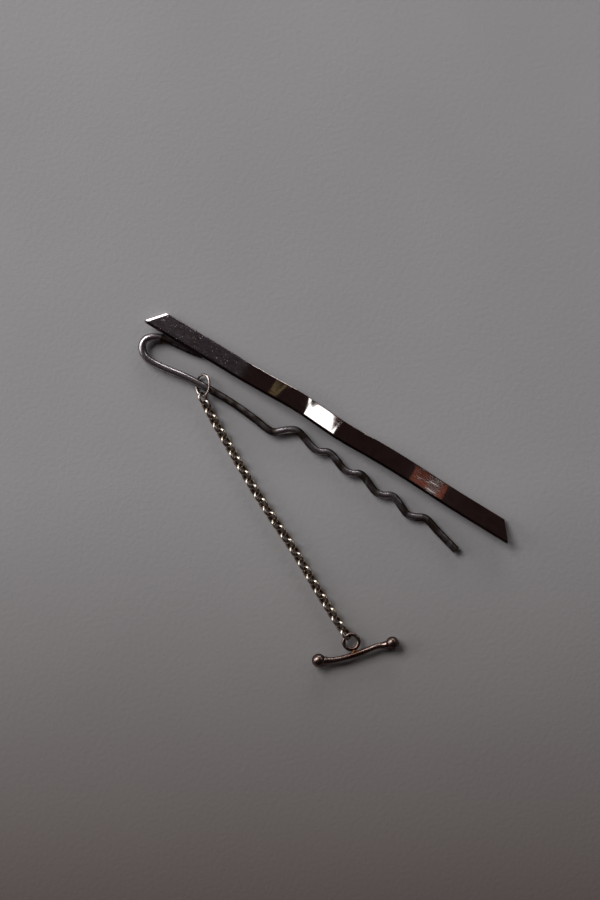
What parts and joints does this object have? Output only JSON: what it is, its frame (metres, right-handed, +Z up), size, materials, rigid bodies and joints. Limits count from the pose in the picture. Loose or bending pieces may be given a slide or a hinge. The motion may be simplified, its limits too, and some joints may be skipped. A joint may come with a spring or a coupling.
{
  "type": "tie clip with safety chain",
  "caption": "Slim waved bar with a hairpin spring wire soldered behind it, and a fine safety chain that ends in a small toggle.",
  "frame": {"origin": "on the table, under the middle of the whole object as it lies", "axes": "+X along the bar to its right-hand end, +Y from the chain and toggle across to the bar, +Z up from the table"},
  "size_m": [0.062, 0.0332, 0.0027],
  "materials": {
    "bar": "polished silver, tarnished and lightly scratched",
    "wire": "drawn silver wire, satin",
    "chain": "tarnished silver",
    "toggle": "polished silver, tarnished",
    "solder": "silver solder with a coppery tint"
  },
  "bodies": {
    "clip": {"bar": "bar", "spring_root": "wire", "spring_solder": "solder"},
    "leg": {"spring_leg": "wire"},
    "jump_ring": {"jump_ring": "wire"},
    "link_01": {"chain_link_01": "chain"},
    "link_02": {"chain_link_02": "chain"},
    "link_03": {"chain_link_03": "chain"},
    "link_04": {"chain_link_04": "chain"},
    "link_05": {"chain_link_05": "chain"},
    "link_06": {"chain_link_06": "chain"},
    "link_07": {"chain_link_07": "chain"},
    "link_08": {"chain_link_08": "chain"},
    "link_09": {"chain_link_09": "chain"},
    "link_10": {"chain_link_10": "chain"},
    "link_11": {"chain_link_11": "chain"},
    "link_12": {"chain_link_12": "chain"},
    "link_13": {"chain_link_13": "chain"},
    "link_14": {"chain_link_14": "chain"},
    "link_15": {"chain_link_15": "chain"},
    "link_16": {"chain_link_16": "chain"},
    "link_17": {"chain_link_17": "chain"},
    "link_18": {"chain_link_18": "chain"},
    "link_19": {"chain_link_19": "chain"},
    "link_20": {"chain_link_20": "chain"},
    "link_21": {"chain_link_21": "chain"},
    "link_22": {"chain_link_22": "chain"},
    "link_23": {"chain_link_23": "chain"},
    "link_24": {"chain_link_24": "chain"},
    "link_25": {"chain_link_25": "chain"},
    "link_26": {"chain_link_26": "chain"},
    "link_27": {"chain_link_27": "chain"},
    "link_28": {"chain_link_28": "chain"},
    "link_29": {"chain_link_29": "chain"},
    "link_30": {"chain_link_30": "chain"},
    "link_31": {"chain_link_31": "chain"},
    "link_32": {"chain_link_32": "chain"},
    "link_33": {"chain_link_33": "chain"},
    "link_34": {"chain_link_34": "chain"},
    "link_35": {"chain_link_35": "chain"},
    "toggle": {"toggle_ring": "toggle", "toggle_solder": "solder", "toggle_rod": "toggle", "toggle_ball_left": "toggle", "toggle_ball_right": "toggle"}
  },
  "joints": [
    {"name": "spring_flex", "type": "hinge", "parent": "clip", "child": "leg", "pos_m": [-0.02965, 0.01108, 0.00105], "axis": [0, 0, 1], "range_deg": [-10, 3], "stiffness_Nm_per_rad": 0.5},
    {"name": "ring_slide", "type": "slide", "parent": "leg", "child": "jump_ring", "axis": [0.9963, 0.0856, -0.0082], "range_m": [-0.003, 0.0035]},
    {"name": "link_01_swing", "type": "hinge", "parent": "jump_ring", "child": "link_01", "pos_m": [-0.01826, 0.0085, 0.00084], "axis": [0.7251, 0.2598, 0.6377], "range_deg": [-30, 30]},
    {"name": "link_02_swing", "type": "hinge", "parent": "link_01", "child": "link_02", "pos_m": [-0.01725, 0.00787, 0.00078], "axis": [0.3407, 0.6209, -0.706], "range_deg": [-30, 30]},
    {"name": "link_03_swing", "type": "hinge", "parent": "link_02", "child": "link_03", "pos_m": [-0.01625, 0.00725, 0.00071], "axis": [0.4085, 0.5785, 0.706], "range_deg": [-30, 30]},
    {"name": "link_04_swing", "type": "hinge", "parent": "link_03", "child": "link_04", "pos_m": [-0.01523, 0.00664, 0.00066], "axis": [-0.34, -0.6206, 0.7066], "range_deg": [-30, 30]},
    {"name": "link_05_swing", "type": "hinge", "parent": "link_04", "child": "link_05", "pos_m": [-0.0142, 0.00605, 0.00064], "axis": [-0.3576, -0.6101, -0.707], "range_deg": [-30, 30]},
    {"name": "link_06_swing", "type": "hinge", "parent": "link_05", "child": "link_06", "pos_m": [-0.01316, 0.00548, 0.00064], "axis": [0.3394, 0.6203, -0.7071], "range_deg": [-30, 30]},
    {"name": "link_07_swing", "type": "hinge", "parent": "link_06", "child": "link_07", "pos_m": [-0.01212, 0.00492, 0.00065], "axis": [0.3338, 0.6233, 0.7071], "range_deg": [-30, 30]},
    {"name": "link_08_swing", "type": "hinge", "parent": "link_07", "child": "link_08", "pos_m": [-0.01108, 0.00435, 0.00065], "axis": [-0.3382, -0.621, 0.7071], "range_deg": [-30, 30]},
    {"name": "link_09_swing", "type": "hinge", "parent": "link_08", "child": "link_09", "pos_m": [-0.01004, 0.00378, 0.00065], "axis": [-0.34, -0.62, -0.7071], "range_deg": [-30, 30]},
    {"name": "link_10_swing", "type": "hinge", "parent": "link_09", "child": "link_10", "pos_m": [-0.009, 0.00321, 0.00065], "axis": [0.3392, 0.6205, -0.7071], "range_deg": [-30, 30]},
    {"name": "link_11_swing", "type": "hinge", "parent": "link_10", "child": "link_11", "pos_m": [-0.00795, 0.00265, 0.00065], "axis": [0.3362, 0.622, 0.7071], "range_deg": [-30, 30]},
    {"name": "link_12_swing", "type": "hinge", "parent": "link_11", "child": "link_12", "pos_m": [-0.00691, 0.00209, 0.00065], "axis": [-0.3322, -0.6242, 0.7071], "range_deg": [-30, 30]},
    {"name": "link_13_swing", "type": "hinge", "parent": "link_12", "child": "link_13", "pos_m": [-0.00586, 0.00154, 0.00065], "axis": [-0.3279, -0.6265, -0.7071], "range_deg": [-30, 30]},
    {"name": "link_14_swing", "type": "hinge", "parent": "link_13", "child": "link_14", "pos_m": [-0.0048, 0.001, 0.00065], "axis": [0.3256, 0.6277, -0.7071], "range_deg": [-30, 30]},
    {"name": "link_15_swing", "type": "hinge", "parent": "link_14", "child": "link_15", "pos_m": [-0.00375, 0.00046, 0.00065], "axis": [0.3222, 0.6294, 0.7071], "range_deg": [-30, 30]},
    {"name": "link_16_swing", "type": "hinge", "parent": "link_15", "child": "link_16", "pos_m": [-0.00269, -0.00008, 0.00065], "axis": [-0.3177, -0.6317, 0.7071], "range_deg": [-30, 30]},
    {"name": "link_17_swing", "type": "hinge", "parent": "link_16", "child": "link_17", "pos_m": [-0.00162, -0.0006, 0.00065], "axis": [-0.3126, -0.6342, -0.7071], "range_deg": [-30, 30]},
    {"name": "link_18_swing", "type": "hinge", "parent": "link_17", "child": "link_18", "pos_m": [-0.00056, -0.00111, 0.00065], "axis": [0.305, 0.638, -0.7071], "range_deg": [-30, 30]},
    {"name": "link_19_swing", "type": "hinge", "parent": "link_18", "child": "link_19", "pos_m": [0.00052, -0.00161, 0.00065], "axis": [0.2962, 0.6421, 0.7071], "range_deg": [-30, 30]},
    {"name": "link_20_swing", "type": "hinge", "parent": "link_19", "child": "link_20", "pos_m": [0.0016, -0.0021, 0.00065], "axis": [-0.2924, -0.6438, 0.7071], "range_deg": [-30, 30]},
    {"name": "link_21_swing", "type": "hinge", "parent": "link_20", "child": "link_21", "pos_m": [0.00268, -0.00259, 0.00065], "axis": [-0.2931, -0.6435, -0.7071], "range_deg": [-30, 30]},
    {"name": "link_22_swing", "type": "hinge", "parent": "link_21", "child": "link_22", "pos_m": [0.00376, -0.00309, 0.00065], "axis": [0.2977, 0.6414, -0.7071], "range_deg": [-30, 30]},
    {"name": "link_23_swing", "type": "hinge", "parent": "link_22", "child": "link_23", "pos_m": [0.00482, -0.0036, 0.00065], "axis": [0.3063, 0.6373, 0.7071], "range_deg": [-30, 30]},
    {"name": "link_24_swing", "type": "hinge", "parent": "link_23", "child": "link_24", "pos_m": [0.00588, -0.00414, 0.00065], "axis": [-0.3173, -0.6319, 0.7071], "range_deg": [-30, 30]},
    {"name": "link_25_swing", "type": "hinge", "parent": "link_24", "child": "link_25", "pos_m": [0.00694, -0.00468, 0.00065], "axis": [-0.3266, -0.6271, -0.7071], "range_deg": [-30, 30]},
    {"name": "link_26_swing", "type": "hinge", "parent": "link_25", "child": "link_26", "pos_m": [0.00798, -0.00524, 0.00065], "axis": [0.3299, 0.6254, -0.7071], "range_deg": [-30, 30]},
    {"name": "link_27_swing", "type": "hinge", "parent": "link_26", "child": "link_27", "pos_m": [0.00903, -0.0058, 0.00064], "axis": [0.3341, 0.6232, 0.7071], "range_deg": [-30, 30]},
    {"name": "link_28_swing", "type": "hinge", "parent": "link_27", "child": "link_28", "pos_m": [0.01007, -0.00636, 0.00065], "axis": [-0.3341, -0.6232, 0.7071], "range_deg": [-30, 30]},
    {"name": "link_29_swing", "type": "hinge", "parent": "link_28", "child": "link_29", "pos_m": [0.01112, -0.00691, 0.00065], "axis": [-0.3301, -0.6253, -0.7071], "range_deg": [-30, 30]},
    {"name": "link_30_swing", "type": "hinge", "parent": "link_29", "child": "link_30", "pos_m": [0.01217, -0.00746, 0.00065], "axis": [0.3298, 0.6255, -0.7071], "range_deg": [-30, 30]},
    {"name": "link_31_swing", "type": "hinge", "parent": "link_30", "child": "link_31", "pos_m": [0.01323, -0.008, 0.00067], "axis": [0.3183, 0.6315, 0.7071], "range_deg": [-30, 30]},
    {"name": "link_32_swing", "type": "hinge", "parent": "link_31", "child": "link_32", "pos_m": [0.01429, -0.00854, 0.00068], "axis": [-0.3295, -0.6257, 0.707], "range_deg": [-30, 30]},
    {"name": "link_33_swing", "type": "hinge", "parent": "link_32", "child": "link_33", "pos_m": [0.01535, -0.00906, 0.00072], "axis": [-0.292, -0.6444, -0.7068], "range_deg": [-30, 30]},
    {"name": "link_34_swing", "type": "hinge", "parent": "link_33", "child": "link_34", "pos_m": [0.01642, -0.00956, 0.00078], "axis": [0.3338, 0.6245, -0.7062], "range_deg": [-30, 30]},
    {"name": "link_35_swing", "type": "hinge", "parent": "link_34", "child": "link_35", "pos_m": [0.0175, -0.01005, 0.00087], "axis": [0.2453, 0.6651, 0.7054], "range_deg": [-30, 30]},
    {"name": "toggle_turn", "type": "hinge", "parent": "link_35", "child": "toggle", "pos_m": [0.01917, -0.01081, 0.00095], "axis": [0, 0, 1], "range_deg": [-70, 70]}
  ]
}
